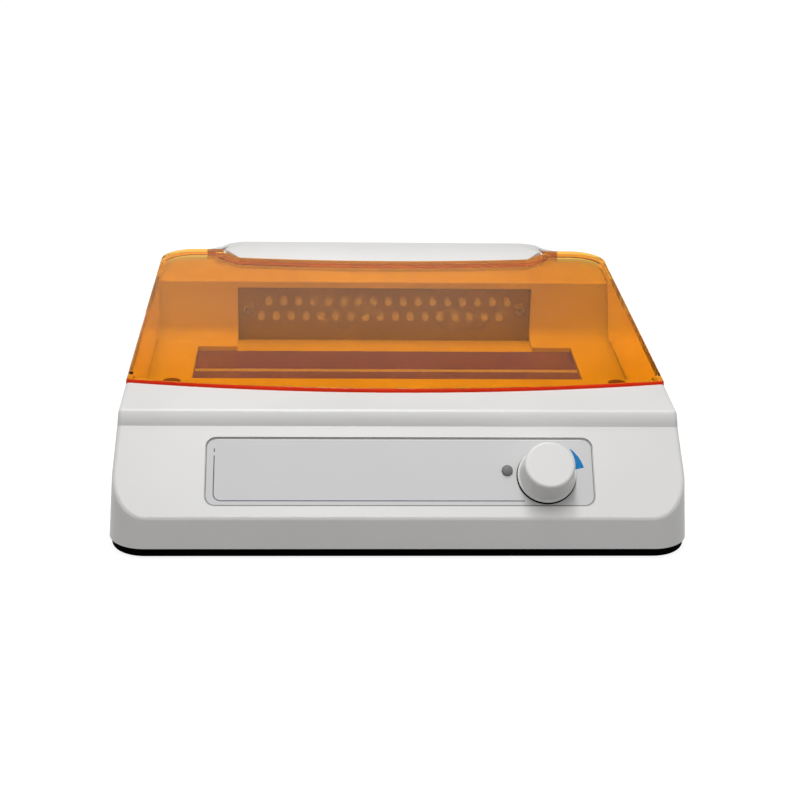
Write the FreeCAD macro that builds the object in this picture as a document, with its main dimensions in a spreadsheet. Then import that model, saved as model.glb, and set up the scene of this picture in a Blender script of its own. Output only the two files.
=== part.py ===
# Blue light gel bench: a white housing with a work deck, a blue filter plate lit from below,
# a row of lamps behind a window in the rear block, and a deep amber cover on a rear hinge.
# Millimetres, +Z up, front towards -Y, origin on the table under the middle of the foot print.
import FreeCAD, Part
import math
import os
import Sketcher

# The driving sizes. Each one is written once here and lives in the spreadsheet as a cell.
SIZES = [
    # housing
    ("body_width", 309.0), ("body_depth", 344.4), ("corner_radius", 20.0), ("draft_angle", 4.0),
    ("shell_wall", 2.8), ("panel_angle", 44.0), ("skirt_height", 17.1), ("panel_slope", 61.2),
    ("nose_height", 2.8), ("groove_length", 8.4), ("ledge_rise", 0.5), ("deck_height", 22.4),
    ("deck_fillet", 8.0), ("console_lean", 10.0), ("edge_round", 1.0), ("panel_round", 2.5),
    # cover
    ("lid_height", 70.5), ("lid_setback", 82.0), ("lid_rear_setback", 11.3), ("lid_bow", 13.8),
    ("lid_wall", 2.8), ("lid_corner", 22.0), ("lid_gap", 0.8), ("lid_front_gap", 0.3),
    ("flange_height", 8.6), ("rear_flange_height", 5.5), ("shelf_drop", 9.3), ("front_shelf", 24.0),
    ("block_depth", 47.0), ("lid_edge_round", 1.2),
    # rear notch, hinge and its cover
    ("notch_width", 218.0), ("notch_front_width", 195.0), ("notch_depth", 26.4), ("hinge_clear", 0.5),
    ("pivot_setback", 5.0), ("pivot_drop", 3.2), ("pin_diameter", 3.0), ("pin_play", 0.05),
    ("ear_thickness", 4.0), ("ear_radius", 3.2), ("washer_thickness", 1.0), ("swing_relief", 14.0),
    ("bracket_width", 12.0), ("bracket_foot", 2.5), ("bracket_screw_x", 90.0),
    ("hump_gap", 1.5), ("hump_crest", 3.9), ("hump_edge", -1.4), ("hump_rise", 22.0),
    ("hump_curve", 60.0), ("hump_back_round", 3.0), ("hump_wing", 13.0), ("hump_wall", 2.0),
    ("wing_gap", 1.6), ("cover_screw_x", 50.0), ("swing_gap", 0.5), ("swing_behind", 5.2),
    # base
    ("foot_height", 1.0), ("foot_diameter", 16.0), ("foot_recess", 1.0), ("foot_inset", 24.0),
    ("tray_height", 5.5), ("tray_inset", 1.2), ("tray_floor", 2.5), ("tray_lip", 4.0),
    ("lip_gap", 0.5), ("boss_radius", 5.0), ("boss_inset", 8.0), ("screw_diameter", 3.0),
    ("screw_length", 10.0), ("screw_head", 6.0), ("head_depth", 1.2),
    # filter plate and lights under it
    ("plate_width", 246.0), ("plate_front_margin", 9.8), ("plate_rear_margin", 20.3),
    ("plate_thickness", 2.5), ("plate_sink", 2.9), ("plate_gap", 0.3), ("plate_ledge", 6.0),
    ("well_wall", 3.0),
    ("gasket_thickness", 0.5), ("glass_length", 102.0), ("glass_thickness", 1.8),
    ("diffuser_thickness", 1.2), ("board_thickness", 1.6), ("deck_lamp_size", 5.0),
    ("deck_lamp_height", 1.6), ("deck_lamp_pitch", 24.0), ("spreader_thickness", 1.0),
    # rear lamps and window
    ("window_width", 195.4), ("window_height", 37.1), ("window_thickness", 2.0),
    ("window_gap", 0.3), ("lamp_pitch", 10.0), ("lamp_row_gap", 10.5), ("lamp_row_height", 39.7),
    ("lamp_shift", 2.5), ("lamp_diameter", 5.0), ("lamp_height", 7.6), ("lamp_clear", 0.9),
    ("window_screw_x", 91.0),
    # control panel
    ("label_width", 207.0), ("label_height", 39.6), ("label_centre", 26.7), ("label_corner", 6.0),
    ("label_depth", 1.2), ("label_thickness", 0.5), ("label_gap", 0.3), ("panel_item_centre", 24.2),
    ("knob_x", 77.8), ("knob_base", 31.0), ("knob_top", 26.6), ("knob_height", 15.5),
    ("knob_clear", 0.6), ("knob_bore_depth", 12.0), ("knob_brim", 1.0), ("shaft_diameter", 6.0),
    ("shaft_fit", 0.02),
    ("bushing_diameter", 7.0), ("bushing_length", 8.0), ("pot_diameter", 17.0), ("pot_depth", 9.0),
    ("nut_width", 10.0), ("nut_height", 2.0), ("indicator_x", 57.0), ("indicator_rise", 3.3),
    ("indicator_diameter", 5.8), ("indicator_length", 6.0),
    # rear connectors
    ("inlet_x", -90.0), ("switch_x", -52.0), ("rear_item_height", 30.0), ("inlet_size", 12.0),
    ("inlet_bore", 6.4), ("inlet_depth", 14.0), ("switch_width", 19.0), ("switch_height", 13.0),
    ("switch_depth", 14.0), ("switch_flange", 1.2), ("rocker_tilt", 9.0),
    ("recess_depth", 3.5),
    # small parts
    ("plug_x", 126.5), ("plug_setback", 6.4), ("plug_diameter", 10.5), ("plug_depth", 5.0), ("plug_cap", 2.0),
    ("plug_screw", 4.0), ("pillar_diameter", 9.0), ("post_height", 2.0), ("driver_lift", 6.0),
    ("driver_x", -40.0), ("driver_inset", 42.0),
    ("driver_width", 80.0), ("driver_length", 40.0), ("fit_gap", 0.2),
]

os.makedirs("parts", exist_ok=True)
doc = FreeCAD.newDocument("GelBench")
sheet = doc.addObject("Spreadsheet::Sheet", "Sizes")
for row_number, (size_name, size_value) in enumerate(SIZES, start=1):
    sheet.set("A%d" % row_number, size_name)
    sheet.set("B%d" % row_number, str(size_value))
    sheet.setAlias("B%d" % row_number, size_name)
doc.recompute()


class Size:
    """A length or angle that knows its number and the sheet formula behind it."""

    def __init__(self, number, formula):
        self.number = float(number)
        self.formula = formula

    def join(self, other, sign, number):
        right = other.formula if isinstance(other, Size) else repr(float(other))
        return Size(number, "(%s %s %s)" % (self.formula, sign, right))

    def __add__(self, other):
        return self.join(other, "+", self.number + float(other))

    def __sub__(self, other):
        return self.join(other, "-", self.number - float(other))

    def __mul__(self, other):
        return self.join(other, "*", self.number * float(other))

    def __truediv__(self, other):
        return self.join(other, "/", self.number / float(other))

    def __neg__(self):
        return Size(-self.number, "(0 - %s)" % self.formula)

    def __float__(self):
        return self.number


def cell(name):
    return Size(sheet.get(name), "Sizes.%s" % name)


def fixed(number):
    return Size(number, repr(float(number)))


def tangent(angle):
    return Size(math.tan(math.radians(angle.number)), "tan(%s)" % angle.formula)


def sine(angle):
    return Size(math.sin(math.radians(angle.number)), "sin(%s)" % angle.formula)


def cosine(angle):
    return Size(math.cos(math.radians(angle.number)), "cos(%s)" % angle.formula)


ZERO = fixed(0)
FAR = cell("body_depth")


# Sketches, pads and pockets

def new_body(label):
    body = doc.addObject("PartDesign::Body", label)
    body.Label = label
    return body


def sketch_on(body, role, offset=None):
    """An empty sketch on one of the body's own origin planes, moved along its normal."""
    sketch = body.newObject("Sketcher::SketchObject", "%s_sketch" % body.Name)
    plane = [item for item in body.Origin.OriginFeatures if item.Role == role][0]
    sketch.AttachmentSupport = [(plane, "")]
    sketch.MapMode = "FlatFace"
    if offset is not None:
        sketch.setExpression("AttachmentOffset.Base.z", offset.formula)
    return sketch


def pin_point(sketch, geometry, position, x, y):
    for kind, size in (("DistanceX", x), ("DistanceY", y)):
        index = sketch.addConstraint(Sketcher.Constraint(kind, -1, 1, geometry, position, size.number))
        sketch.setExpression("Constraints[%d]" % index, size.formula)


def outline(sketch, corners):
    """Closed outline. A corner is (x, y), or (x, y, radius, side) where an arc leads on to the
    next corner, with its centre on the left (side 1) or right (side -1) of the way there."""
    starts, ends = [], []
    for place, corner in enumerate(corners):
        after = corners[(place + 1) % len(corners)]
        here = FreeCAD.Vector(corner[0].number, corner[1].number, 0)
        there = FreeCAD.Vector(after[0].number, after[1].number, 0)
        if len(corner) == 2:
            geometry = sketch.addGeometry(Part.LineSegment(here, there), False)
            starts.append((geometry, 1))
            ends.append((geometry, 2))
            continue
        radius, side = corner[2], corner[3]
        chord = there - here
        rise = math.sqrt(max(radius.number ** 2 - (chord.Length / 2) ** 2, 0))
        across = FreeCAD.Vector(-chord.y, chord.x, 0).normalize()
        centre = (here + there) * 0.5 + across * (rise * side)
        first, last = (here, there) if side > 0 else (there, here)
        begin = math.atan2(first.y - centre.y, first.x - centre.x)
        finish = math.atan2(last.y - centre.y, last.x - centre.x)
        circle = Part.Circle(centre, FreeCAD.Vector(0, 0, 1), radius.number)
        geometry = sketch.addGeometry(Part.ArcOfCircle(circle, begin, finish), False)
        starts.append((geometry, 1 if side > 0 else 2))
        ends.append((geometry, 2 if side > 0 else 1))
        index = sketch.addConstraint(Sketcher.Constraint("Radius", geometry, radius.number))
        sketch.setExpression("Constraints[%d]" % index, radius.formula)
    for place in range(len(corners)):
        nxt = (place + 1) % len(corners)
        sketch.addConstraint(Sketcher.Constraint("Coincident", *ends[place], *starts[nxt]))
    for place, corner in enumerate(corners):
        pin_point(sketch, *starts[place], corner[0], corner[1])


def rectangle(sketch, x, y, width, height):
    """A rectangle round the middle (x, y)."""
    half_w, half_h = width / 2, height / 2
    outline(sketch, [(x - half_w, y - half_h), (x + half_w, y - half_h),
                     (x + half_w, y + half_h), (x - half_w, y + half_h)])


def disc(sketch, x, y, diameter):
    circle = Part.Circle(FreeCAD.Vector(x.number, y.number, 0), FreeCAD.Vector(0, 0, 1), diameter.number / 2)
    geometry = sketch.addGeometry(circle, False)
    index = sketch.addConstraint(Sketcher.Constraint("Diameter", geometry, diameter.number))
    sketch.setExpression("Constraints[%d]" % index, diameter.formula)
    pin_point(sketch, geometry, 3, x, y)


def extrude(body, kind, sketch, length, draft=None, back=False, both=False):
    """A Pad or Pocket of the given length. back turns it round, both splits it either side."""
    feature = body.newObject("PartDesign::%s" % kind, "%s_%s" % (body.Name, kind))
    feature.Profile = sketch
    feature.setExpression("Length", length.formula)
    feature.Reversed = back
    if both:
        feature.SideType = "Symmetric"
    if draft is not None:
        feature.setExpression("TaperAngle", draft.formula)
    doc.recompute()
    return feature


def pad(body, sketch, length, **options):
    return extrude(body, "Pad", sketch, length, **options)


def pocket(body, sketch, length, **options):
    volume_before = body.Shape.Volume
    feature = extrude(body, "Pocket", sketch, length, **options)
    if not body.Shape.Volume < volume_before - 0.01:
        raise RuntimeError("a pocket of %s removed nothing" % body.Label)
    return feature


def soften(body, feature, radius, chosen):
    """Fillet the edges of the feature that the test picks."""
    names = ["Edge%d" % (count + 1) for count, edge in enumerate(feature.Shape.Edges) if chosen(edge)]
    if not names:
        raise RuntimeError("no edge to round on %s" % body.Label)
    fillet = body.newObject("PartDesign::Fillet", "%s_Fillet" % body.Name)
    fillet.Base = (feature, names)
    fillet.setExpression("Radius", radius.formula)
    doc.recompute()
    return fillet


def upright(edge):
    """True for a long edge that stands nearly upright."""
    tall = edge.BoundBox.ZLength
    return tall > 3 and tall > 4 * max(edge.BoundBox.XLength, edge.BoundBox.YLength)


def round_bar(label, diameter, length, x, y, z, roll=None):
    """A cylinder primitive; roll is the rotation that turns its axis from +Z."""
    bar = doc.addObject("Part::Cylinder", label)
    bar.setExpression("Radius", (diameter / 2).formula)
    bar.setExpression("Height", length.formula)
    place(bar, x, y, z)
    if roll is not None:
        bar.Placement.Rotation = roll
    return bar


def block(label, x, y, z, width, depth, height):
    """A box primitive centred in x and y that stands on z."""
    box = doc.addObject("Part::Box", label)
    box.setExpression("Length", width.formula)
    box.setExpression("Width", depth.formula)
    box.setExpression("Height", height.formula)
    place(box, x - width / 2, y - depth / 2, z)
    return box


def place(thing, x, y, z):
    thing.setExpression("Placement.Base.x", x.formula)
    thing.setExpression("Placement.Base.y", y.formula)
    thing.setExpression("Placement.Base.z", z.formula)


def fuse(label, pieces):
    joined = doc.addObject("Part::MultiFuse", label)
    joined.Shapes = pieces
    joined.Refine = False
    return joined


def common(label, first, second):
    overlap = doc.addObject("Part::MultiCommon", label)
    overlap.Shapes = [first, second]
    overlap.Refine = False
    return overlap


def cut(label, base, tool):
    result = doc.addObject("Part::Cut", label)
    result.Base = base
    result.Tool = tool
    result.Refine = False
    return result


def group(label, shapes):
    """Identical small pieces share one node as separate solids."""
    holder = doc.addObject("Part::Feature", label)
    holder.Shape = Part.makeCompound(shapes)
    return holder


ALONG_Y = FreeCAD.Rotation(FreeCAD.Vector(1, 0, 0), -90)

# Places worked out from the sizes

DRAFT = cell("draft_angle")
SLANT = tangent(DRAFT)
WALL = cell("shell_wall")
HALF_WIDTH = cell("body_width") / 2
HALF_DEPTH = cell("body_depth") / 2
TRAY_BOTTOM = cell("foot_height")
PARTING = TRAY_BOTTOM + cell("tray_height")
SKIRT_TOP = PARTING + cell("skirt_height")
LID_TOP = cell("lid_height")
SHELF = LID_TOP - cell("shelf_drop")
DECK = cell("deck_height")
LID_FRONT = cell("lid_setback") - HALF_DEPTH
LID_REAR = HALF_DEPTH - cell("lid_rear_setback")
RIM = LID_FRONT + cell("front_shelf")
CONSOLE_FOOT = RIM + cell("console_lean")
BLOCK_FRONT = LID_REAR - cell("block_depth")
PANEL = cell("panel_angle")
PANEL_FOOT = SLANT * cell("skirt_height") - HALF_DEPTH
PLATE_REAR = BLOCK_FRONT - cell("plate_rear_margin")
PLATE_FRONT = CONSOLE_FOOT + cell("plate_front_margin")
PLATE_LENGTH = PLATE_REAR - PLATE_FRONT
PLATE_MIDDLE = (PLATE_REAR + PLATE_FRONT) / 2
PLATE_TOP = DECK - cell("plate_sink")
PLATE_FOOT = PLATE_TOP - cell("plate_thickness")
DIFFUSER_FOOT = PLATE_FOOT - cell("diffuser_thickness")
PLATE_SEAT = DIFFUSER_FOOT - cell("gasket_thickness")
WINDOW_FOOT = PLATE_TOP
PIVOT_Y = LID_REAR - cell("pivot_setback")
PIVOT_Z = LID_TOP - cell("pivot_drop")


def half_width_at(height):
    """Half the drafted width at a height above the table."""
    return HALF_WIDTH - SLANT * (height - PARTING)


def on_panel(along, off=ZERO):
    """Y and Z of a point on the sloping panel: along up the slope from its foot, off outwards."""
    y = PANEL_FOOT + cosine(PANEL) * along - sine(PANEL) * off
    z = SKIRT_TOP + sine(PANEL) * along + cosine(PANEL) * off
    return y, z


LIP_Y, LIP_Z = on_panel(cell("panel_slope"), cell("nose_height"))
GROOVE_SPAN = cell("groove_length") * cell("groove_length")
GROOVE_RADIUS = (GROOVE_SPAN + cell("nose_height") * cell("nose_height")) / (
    cell("nose_height") * 2)
LEDGE_BACK = LIP_Z + cell("ledge_rise")
BOW = cell("lid_bow")
LID_HALF = half_width_at(LID_TOP)
RECESS_FRONT = LID_FRONT - SLANT * cell("flange_height") - cell("lid_front_gap")
BOW_RADIUS = (LID_HALF * LID_HALF + BOW * BOW) / (BOW * 2)


def drafted_body(label, inset, bottom, top):
    """The drafted block with rounded corners that housing, cover and cavities are cut from."""
    body = new_body(label)
    spread = SLANT * (PARTING - bottom) - inset
    sketch = sketch_on(body, "XY_Plane", bottom)
    rectangle(sketch, ZERO, ZERO, (HALF_WIDTH + spread) * 2, (HALF_DEPTH + spread) * 2)
    block_pad = pad(body, sketch, top - bottom, draft=-DRAFT)
    soften(body, block_pad, cell("corner_radius") - inset, upright)
    return body


def side_cut(body, corners):
    """Cut an outline in the side view right through the width."""
    sketch = sketch_on(body, "YZ_Plane")
    outline(sketch, corners)
    return pocket(body, sketch, FAR * 2, both=True)


def side_prism(label, corners):
    """A prism across the whole width with an outline in the side view."""
    body = new_body(label)
    sketch = sketch_on(body, "YZ_Plane")
    outline(sketch, corners)
    pad(body, sketch, FAR * 2, both=True)
    return body


def plan_arc_depth(half_width):
    """How far an arc of the cover's bow falls back over half its width."""
    return half_width * half_width / (BOW_RADIUS * 2)


# the outline of the rear notch, from which its wall and the hump inside it are spaced
NOTCH_HALF = cell("notch_width") / 2
NOTCH_FRONT_HALF = cell("notch_front_width") / 2
NOTCH_CORNER = LID_REAR - cell("notch_depth") + plan_arc_depth(NOTCH_FRONT_HALF)
NOTCH_FLANK_END = PIVOT_Y - cell("ear_radius") - cell("hinge_clear")


def notch_outline(spread, rear):
    """The notch's plan, grown outwards by spread and run back to rear."""
    half, front_half = NOTCH_HALF + spread, NOTCH_FRONT_HALF + spread * 0.6
    corner, flank = NOTCH_CORNER - spread, NOTCH_FLANK_END - spread * 0.4
    return [(half, rear), (-half, rear), (-half, flank),
            (-front_half, corner, BOW_RADIUS + spread, 1), (front_half, corner), (half, flank)]


BOSS_X = HALF_WIDTH - cell("boss_inset")
BOSS_PLACES = [(side, y) for side in (-1, 1)
               for y in (-HALF_DEPTH + 42, HALF_DEPTH * 0.1, HALF_DEPTH - 22)]
TRAY_FLOOR = TRAY_BOTTOM + cell("tray_floor")
HEAD_SEAT = TRAY_BOTTOM + cell("head_depth") + 0.3
BOARD_FACE = BLOCK_FRONT + cell("window_thickness") + cell("lamp_height") + cell("lamp_clear")
LAMP_BOARD_WIDTH = cell("window_width") + 14
LAMP_BOARD_FOOT = PLATE_SEAT - 2.5
LAMP_BOARD_TOP = SHELF - WALL - 0.5
PLUG_X = cell("plug_x")
PLUG_Y = RIM - cell("plug_setback")
PLUG_FOOT = SHELF - cell("plug_depth") - 3
RECESS_FLOOR = HALF_DEPTH - SLANT * (cell("rear_item_height") - PARTING) - cell("recess_depth")
INNER_SKIN = WALL + 1
LAMP_POSTS = [((LAMP_BOARD_WIDTH / 2 - 3) * side, height) for side in (-1, 1)
              for height in (LAMP_BOARD_FOOT + 6, LAMP_BOARD_TOP - 4)]


def lip_corners():
    """Side view above the panel and ledge: what is cut off the drafted block."""
    groove = on_panel(cell("panel_slope") - cell("groove_length"))
    low = on_panel(fixed(-20))
    ledge_slope = cell("ledge_rise") / (LID_FRONT - BOW - LIP_Y)
    ledge_end = LIP_Z + ledge_slope * (FAR - LIP_Y)
    return [low, (*groove, GROOVE_RADIUS, -1), (LIP_Y, LIP_Z), (FAR, ledge_end),
            (FAR, FAR), (low[0], FAR)]


def edge_of_panel(edge):
    """True for the edges round the sloping panel, the nose above it and the sides of the ledge."""
    points = [edge.valueAt(edge.FirstParameter), edge.valueAt(edge.LastParameter), edge.CenterOfMass]
    wide = abs(points[2].x) < 1 and edge.BoundBox.XLength > LID_HALF.number
    if wide:
        at_foot = abs(points[2].z - SKIRT_TOP.number) < 0.1
        at_lip = abs(points[2].z - LIP_Z.number) < 0.1 and abs(points[2].y - LIP_Y.number) < 0.1
        return at_foot or at_lip
    above = min(point.z for point in points) > SKIRT_TOP.number - 0.1
    lying = edge.BoundBox.YLength > 2
    return above and lying and points[2].y < HALF_DEPTH.number - 30


def housing_outside():
    outer = drafted_body("housing_outer", ZERO, PARTING, LID_TOP + 10)
    profile = side_cut(outer, lip_corners())
    soften(outer, profile, cell("panel_round"), edge_of_panel)
    # the recess that the cover's bowed front edge drops into, open to both sides and the rear
    plan = sketch_on(outer, "XY_Plane", SHELF)
    outline(plan, [(-FAR, RECESS_FRONT), (-LID_HALF, RECESS_FRONT, BOW_RADIUS, 1), (LID_HALF, RECESS_FRONT),
                   (FAR, RECESS_FRONT), (FAR, FAR), (-FAR, FAR)])
    pocket(outer, plan, FAR, back=True)
    foot = cell("deck_fillet")
    work_cut = side_cut(outer, [
        (RIM, SHELF), (CONSOLE_FOOT, DECK), (BLOCK_FRONT - foot, DECK, foot, 1),
        (BLOCK_FRONT, DECK + foot), (BLOCK_FRONT, SHELF + 20), (RIM, SHELF + 20)])

    def edge_of_top(edge):
        middle = edge.CenterOfMass
        wide = abs(middle.x) < 1 and edge.BoundBox.XLength > LID_HALF.number
        rim = abs(middle.y - RIM.number) < 0.5 and abs(middle.z - SHELF.number) < 0.1
        block_top = abs(middle.y - BLOCK_FRONT.number) < 0.5 and abs(middle.z - SHELF.number) < 0.1
        return wide and (rim or block_top)

    soften(outer, work_cut, cell("edge_round"), edge_of_top)
    return outer


def housing_hollow():
    """The space under the housing: a drafted core inside a side view one wall smaller."""
    core = drafted_body("housing_core", WALL, PARTING - 1, SHELF + 20)
    inner_foot = PANEL_FOOT + WALL / sine(PANEL) - (SKIRT_TOP - PARTING + 1) / tangent(PANEL)
    inner_lip = on_panel(cell("panel_slope") - 1, -WALL)
    ledge_back = RECESS_FRONT - BOW - WALL
    ceiling = SHELF - WALL
    view = side_prism("housing_view", [
        (inner_foot, PARTING - 1), (FAR, PARTING - 1), (FAR, ceiling), (BLOCK_FRONT + WALL, ceiling),
        (BLOCK_FRONT + WALL, DECK - WALL), (CONSOLE_FOOT - WALL, DECK - WALL), (RIM - WALL, ceiling),
        (ledge_back, ceiling), (ledge_back, LEDGE_BACK - WALL), inner_lip])
    return common("housing_hollow", core, view)


def make_upper_housing():
    shell = cut("housing_shell", housing_outside(), housing_hollow())
    well_front = PLATE_REAR - PLATE_LENGTH - cell("well_wall")
    well_back = BLOCK_FRONT + WALL
    well_width = cell("plate_width") + cell("well_wall") * 2
    added = [shell, block("plate_well", ZERO, (well_front + well_back) / 2, PLATE_SEAT - 2.5,
                          well_width, well_back - well_front, DECK - PLATE_SEAT + 2.4)]
    for side, y in BOSS_PLACES:
        top = DECK - 1 if abs(y.number) < BLOCK_FRONT.number else DECK + 6
        added.append(round_bar("base_boss", cell("boss_radius") * 2, top - TRAY_FLOOR,
                               BOSS_X * side, y, TRAY_FLOOR))
    for side in (-1, 1):
        added.append(round_bar("plug_boss", cell("plug_diameter") + 2.4, SHELF - 1 - PLUG_FOOT,
                               PLUG_X * side, PLUG_Y, PLUG_FOOT))
    for x, height in LAMP_POSTS:
        added.append(round_bar("lamp_post", fixed(5), BOARD_FACE - BLOCK_FRONT - WALL + 1,
                               x, BLOCK_FRONT + WALL - 1, height, ALONG_Y))
    recess_x = (cell("inlet_x") + cell("switch_x")) / 2
    recess_width = cell("switch_x") - cell("inlet_x") + cell("switch_width") + 16
    recess_height = cell("switch_height") + 12
    recess_foot = cell("rear_item_height") - recess_height / 2
    added.append(block("recess_wall", recess_x, RECESS_FLOOR + 1 - INNER_SKIN / 2, recess_foot - WALL,
                       recess_width + WALL * 2, INNER_SKIN + 2, recess_height + WALL * 2))
    solid = fuse("housing_solid", added)

    tools = []
    recess = block("plate_recess", ZERO, PLATE_MIDDLE, PLATE_SEAT,
                   cell("plate_width") + cell("plate_gap") * 2, PLATE_LENGTH + cell("plate_gap") * 2, fixed(20))
    tools.append(recess)
    tools.append(block("light_opening", ZERO, PLATE_MIDDLE, TRAY_FLOOR,
                       cell("plate_width") - cell("plate_ledge") * 2,
                       PLATE_LENGTH - cell("plate_ledge") * 2, fixed(20)))
    tools.append(block("lamp_channel", ZERO, (PLATE_REAR + BLOCK_FRONT) / 2, PLATE_TOP,
                       cell("window_width"), BLOCK_FRONT - PLATE_REAR + 10, fixed(12)))
    tools.append(block("window_opening", ZERO, BLOCK_FRONT + WALL / 2, WINDOW_FOOT,
                       cell("window_width"), WALL + 8, cell("window_height")))
    tools.append(label_shape("label_recess", ZERO, cell("label_depth") + 5, -cell("label_depth")))
    tools.append(panel_bar("bushing_hole", cell("knob_x"), cell("panel_item_centre"), fixed(-12),
                           cell("bushing_diameter") + 0.3, fixed(16)))
    tools.append(panel_bar("indicator_hole", cell("indicator_x"),
                           cell("panel_item_centre") + cell("indicator_rise"),
                           fixed(-12), cell("indicator_diameter") + 0.2, fixed(16)))
    for side, y in BOSS_PLACES:
        tools.append(round_bar("base_bore", cell("screw_diameter"), cell("screw_length"),
                               BOSS_X * side, y, TRAY_FLOOR - 1))
    for side in (-1, 1):
        tools.append(round_bar("plug_seat", cell("plug_diameter") + 0.2, fixed(20),
                               PLUG_X * side, PLUG_Y, SHELF - cell("plug_depth")))
        tools.append(round_bar("plug_screw_hole", cell("plug_screw") + 0.4, fixed(20),
                               PLUG_X * side, PLUG_Y, PLUG_FOOT - 10))
        tools.append(round_bar("cover_screw_hole", cell("screw_diameter") + 0.4, fixed(12),
                               cell("cover_screw_x") * side, PIVOT_Y, SHELF - 8))
        for step in (-1, 1):
            tools.append(round_bar("bracket_screw_hole", cell("screw_diameter"), fixed(12),
                                   cell("bracket_screw_x") * side, PIVOT_Y + 4 * step, SHELF - 8))
    for x, height in LAMP_POSTS:
        tools.append(round_bar("lamp_post_bore", fixed(2.3), fixed(6), x, BOARD_FACE - 5, height, ALONG_Y))
    tools.append(block("rear_recess", recess_x, RECESS_FLOOR + 10, recess_foot, recess_width, fixed(20),
                       recess_height))
    tools.append(round_bar("inlet_hole", cell("inlet_size") + 0.3, fixed(40), cell("inlet_x"),
                           RECESS_FLOOR - 20, cell("rear_item_height"), ALONG_Y))
    tools.append(block("switch_hole", cell("switch_x"), RECESS_FLOOR, cell("rear_item_height")
                       - cell("switch_height") / 2 - 0.1, cell("switch_width") + 0.2, fixed(30),
                       cell("switch_height") + 0.2))
    return cut("upper_housing", solid, fuse("housing_openings", tools))


def panel_place(thing, x, along, off):
    """Stand a piece on the sloping panel: its own Z leans out along the panel's normal."""
    y, z = on_panel(along, off)
    place(thing, x, y, z)
    thing.Placement.Rotation = FreeCAD.Rotation(FreeCAD.Vector(1, 0, 0), PANEL.number)


def panel_bar(label, x, along, off, diameter, length):
    bar = round_bar(label, diameter, length, ZERO, ZERO, ZERO)
    panel_place(bar, x, along, off)
    return bar


def label_shape(name, shrink, thickness, off):
    """A rounded plate in the place of the control label, smaller all round by shrink."""
    body = new_body(name)
    sketch = sketch_on(body, "XY_Plane")
    rectangle(sketch, ZERO, ZERO, cell("label_width") - shrink * 2, cell("label_height") - shrink * 2)
    plate = pad(body, sketch, thickness)
    soften(body, plate, cell("label_corner") - shrink, lambda edge: edge.BoundBox.ZLength > 0.1)
    panel_place(body, ZERO, cell("label_centre"), off)
    return body


def make_control_label():
    gap = cell("label_gap")
    label = label_shape("label_blank", gap, cell("label_thickness"), -cell("label_depth"))
    holes = fuse("label_holes", [
        panel_bar("label_knob_hole", cell("knob_x"), cell("panel_item_centre"), fixed(-5),
                  cell("bushing_diameter") + 1, fixed(10)),
        panel_bar("label_lens_hole", cell("indicator_x"), cell("panel_item_centre") + cell("indicator_rise"),
                  fixed(-5), cell("indicator_diameter") + 0.2, fixed(10))])
    return cut("control_label", label, holes)


def turned(label, corners):
    """A piece turned about its own Z axis from a profile of (radius, height) corners."""
    body = new_body(label)
    sketch = sketch_on(body, "XZ_Plane")
    outline(sketch, corners)
    spin = body.newObject("PartDesign::Revolution", "%s_Revolution" % body.Name)
    spin.Profile = sketch
    spin.ReferenceAxis = (sketch, ["V_Axis"])
    spin.Angle = 360
    doc.recompute()
    return body


def make_knob():
    base, top = cell("knob_base") / 2, cell("knob_top") / 2
    height, bore = cell("knob_height"), cell("shaft_diameter") / 2 + cell("shaft_fit")
    room = cell("bushing_diameter") / 2 + 3.2
    room_top = cell("bushing_length") - WALL + 1
    brim = cell("knob_brim")
    knob = turned("brightness_knob", [
        (room, ZERO), (base, ZERO), (base, brim), (base - 0.8, brim + 0.5),
        (top, height - 1.6, fixed(1.6), 1),
        (top - 1.6, height), (ZERO, height), (ZERO, cell("knob_bore_depth")), (bore, cell("knob_bore_depth")),
        (bore, room_top), (room, room_top)])
    panel_place(knob, cell("knob_x"), cell("panel_item_centre"), cell("knob_clear"))
    return knob


def make_pot_shaft():
    inner_end = WALL + 1
    shaft = turned("pot_shaft", [
        (ZERO, -inner_end), (cell("shaft_diameter") / 2, -inner_end),
        (cell("shaft_diameter") / 2, cell("knob_clear") + cell("knob_bore_depth") - 0.2),
        (ZERO, cell("knob_clear") + cell("knob_bore_depth") - 0.2)])
    panel_place(shaft, cell("knob_x"), cell("panel_item_centre"), ZERO)
    return shaft


def make_potentiometer():
    """The round body behind the panel with its threaded bushing through it."""
    shaft = cell("shaft_diameter") / 2 + cell("pin_play")
    barrel, neck = cell("pot_diameter") / 2, cell("bushing_diameter") / 2
    front = -WALL
    pot = turned("potentiometer", [
        (ZERO, front - cell("pot_depth")), (barrel, front - cell("pot_depth")),
        (barrel, front), (neck, front),
        (neck, front + cell("bushing_length")), (shaft, front + cell("bushing_length")),
        (shaft, -WALL - 1 - cell("fit_gap")), (ZERO, -WALL - 1 - cell("fit_gap"))])
    panel_place(pot, cell("knob_x"), cell("panel_item_centre"), ZERO)
    return pot


def hexagon_ring(label, flats, hole, height):
    """A hexagon nut that stands on its own XY plane."""
    body = new_body(label)
    sketch = sketch_on(body, "XY_Plane")
    half = flats / 2
    point = flats / math.sqrt(3)
    outline(sketch, [(point, ZERO), (point / 2, half), (-(point / 2), half), (-point, ZERO),
                     (-(point / 2), -half), (point / 2, -half)])
    pad(body, sketch, height)
    hole_sketch = sketch_on(body, "XY_Plane")
    disc(hole_sketch, ZERO, ZERO, hole)
    pocket(body, hole_sketch, height, back=True)
    return body


def make_pot_nut():
    nut = hexagon_ring("pot_nut", cell("nut_width"), cell("bushing_diameter") + 0.04, cell("nut_height"))
    panel_place(nut, cell("knob_x"), cell("panel_item_centre"), cell("label_thickness") - cell("label_depth"))
    return nut


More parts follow.
